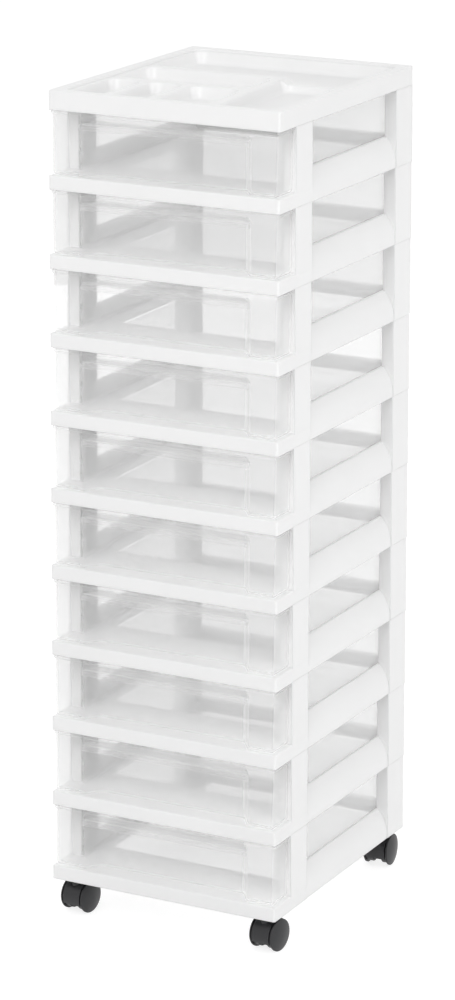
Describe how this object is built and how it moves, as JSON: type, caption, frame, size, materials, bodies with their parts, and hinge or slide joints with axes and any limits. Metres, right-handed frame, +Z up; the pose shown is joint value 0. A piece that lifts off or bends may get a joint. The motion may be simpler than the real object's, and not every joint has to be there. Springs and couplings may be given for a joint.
{
  "type": "rolling drawer tower",
  "caption": "Free-standing tower of stacked white frames with clear sliding drawers, a compartmented organizer top and twin-wheel swivel casters.",
  "frame": {"origin": "on the floor under the centre of the tower", "axes": "+X to the right as seen from the front, +Y to the rear, +Z up; drawers open towards -Y"},
  "size_m": [0.306, 0.3665, 1.0305],
  "materials": {
    "frame_plastic": "smooth white moulding with a soft sheen",
    "drawer_plastic": "clear, slightly frosted moulding",
    "caster_plastic": "black moulding with a fine grain",
    "stem_steel": "plain steel"
  },
  "bodies": {
    "tower": {"frame_1": "frame_plastic", "frame_2": "frame_plastic", "frame_3": "frame_plastic", "frame_4": "frame_plastic", "frame_5": "frame_plastic", "frame_6": "frame_plastic", "frame_7": "frame_plastic", "frame_8": "frame_plastic", "frame_9": "frame_plastic", "frame_10": "frame_plastic", "organizer_top": "frame_plastic", "stem_fl": "stem_steel", "stem_fr": "stem_steel", "stem_rl": "stem_steel", "stem_rr": "stem_steel"},
    "drawer_body_1": {"drawer_1": "drawer_plastic"},
    "drawer_body_2": {"drawer_2": "drawer_plastic"},
    "drawer_body_3": {"drawer_3": "drawer_plastic"},
    "drawer_body_4": {"drawer_4": "drawer_plastic"},
    "drawer_body_5": {"drawer_5": "drawer_plastic"},
    "drawer_body_6": {"drawer_6": "drawer_plastic"},
    "drawer_body_7": {"drawer_7": "drawer_plastic"},
    "drawer_body_8": {"drawer_8": "drawer_plastic"},
    "drawer_body_9": {"drawer_9": "drawer_plastic"},
    "drawer_body_10": {"drawer_10": "drawer_plastic"},
    "caster_fl": {"hood_fl": "caster_plastic", "axle_fl": "stem_steel"},
    "roller_left_fl": {"wheel_left_fl": "caster_plastic"},
    "roller_right_fl": {"wheel_right_fl": "caster_plastic"},
    "caster_fr": {"hood_fr": "caster_plastic", "axle_fr": "stem_steel"},
    "roller_left_fr": {"wheel_left_fr": "caster_plastic"},
    "roller_right_fr": {"wheel_right_fr": "caster_plastic"},
    "caster_rl": {"hood_rl": "caster_plastic", "axle_rl": "stem_steel"},
    "roller_left_rl": {"wheel_left_rl": "caster_plastic"},
    "roller_right_rl": {"wheel_right_rl": "caster_plastic"},
    "caster_rr": {"hood_rr": "caster_plastic", "axle_rr": "stem_steel"},
    "roller_left_rr": {"wheel_left_rr": "caster_plastic"},
    "roller_right_rr": {"wheel_right_rr": "caster_plastic"}
  },
  "joints": [
    {"name": "drawer_slide_1", "type": "slide", "parent": "tower", "child": "drawer_body_1", "axis": [0, -1, 0], "range_m": [0, 0.24]},
    {"name": "drawer_slide_2", "type": "slide", "parent": "tower", "child": "drawer_body_2", "axis": [0, -1, 0], "range_m": [0, 0.24]},
    {"name": "drawer_slide_3", "type": "slide", "parent": "tower", "child": "drawer_body_3", "axis": [0, -1, 0], "range_m": [0, 0.24]},
    {"name": "drawer_slide_4", "type": "slide", "parent": "tower", "child": "drawer_body_4", "axis": [0, -1, 0], "range_m": [0, 0.24]},
    {"name": "drawer_slide_5", "type": "slide", "parent": "tower", "child": "drawer_body_5", "axis": [0, -1, 0], "range_m": [0, 0.24]},
    {"name": "drawer_slide_6", "type": "slide", "parent": "tower", "child": "drawer_body_6", "axis": [0, -1, 0], "range_m": [0, 0.24]},
    {"name": "drawer_slide_7", "type": "slide", "parent": "tower", "child": "drawer_body_7", "axis": [0, -1, 0], "range_m": [0, 0.24]},
    {"name": "drawer_slide_8", "type": "slide", "parent": "tower", "child": "drawer_body_8", "axis": [0, -1, 0], "range_m": [0, 0.24]},
    {"name": "drawer_slide_9", "type": "slide", "parent": "tower", "child": "drawer_body_9", "axis": [0, -1, 0], "range_m": [0, 0.24]},
    {"name": "drawer_slide_10", "type": "slide", "parent": "tower", "child": "drawer_body_10", "axis": [0, -1, 0], "range_m": [0, 0.24]},
    {"name": "caster_swivel_fl", "type": "hinge", "parent": "tower", "child": "caster_fl", "pos_m": [-0.1305, -0.16, 0.04], "axis": [0, 0, 1], "continuous": true},
    {"name": "wheel_spin_left_fl", "type": "hinge", "parent": "caster_fl", "child": "roller_left_fl", "pos_m": [-0.12939, -0.15208, 0.02], "axis": [0.9903, -0.1392, 0], "continuous": true},
    {"name": "wheel_spin_right_fl", "type": "hinge", "parent": "caster_fl", "child": "roller_right_fl", "pos_m": [-0.12939, -0.15208, 0.02], "axis": [0.9903, -0.1392, 0], "continuous": true},
    {"name": "caster_swivel_fr", "type": "hinge", "parent": "tower", "child": "caster_fr", "pos_m": [0.1305, -0.16, 0.04], "axis": [0, 0, 1], "continuous": true},
    {"name": "wheel_spin_left_fr", "type": "hinge", "parent": "caster_fr", "child": "roller_left_fr", "pos_m": [0.13161, -0.15208, 0.02], "axis": [0.9903, -0.1392, 0], "continuous": true},
    {"name": "wheel_spin_right_fr", "type": "hinge", "parent": "caster_fr", "child": "roller_right_fr", "pos_m": [0.13161, -0.15208, 0.02], "axis": [0.9903, -0.1392, 0], "continuous": true},
    {"name": "caster_swivel_rl", "type": "hinge", "parent": "tower", "child": "caster_rl", "pos_m": [-0.1305, 0.1565, 0.04], "axis": [0, 0, 1], "continuous": true},
    {"name": "wheel_spin_left_rl", "type": "hinge", "parent": "caster_rl", "child": "roller_left_rl", "pos_m": [-0.13106, 0.16448, 0.02], "axis": [0.9976, 0.0698, 0], "continuous": true},
    {"name": "wheel_spin_right_rl", "type": "hinge", "parent": "caster_rl", "child": "roller_right_rl", "pos_m": [-0.13106, 0.16448, 0.02], "axis": [0.9976, 0.0698, 0], "continuous": true},
    {"name": "caster_swivel_rr", "type": "hinge", "parent": "tower", "child": "caster_rr", "pos_m": [0.1305, 0.1565, 0.04], "axis": [0, 0, 1], "continuous": true},
    {"name": "wheel_spin_left_rr", "type": "hinge", "parent": "caster_rr", "child": "roller_left_rr", "pos_m": [0.12994, 0.16448, 0.02], "axis": [0.9976, 0.0698, 0], "continuous": true},
    {"name": "wheel_spin_right_rr", "type": "hinge", "parent": "caster_rr", "child": "roller_right_rr", "pos_m": [0.12994, 0.16448, 0.02], "axis": [0.9976, 0.0698, 0], "continuous": true}
  ]
}
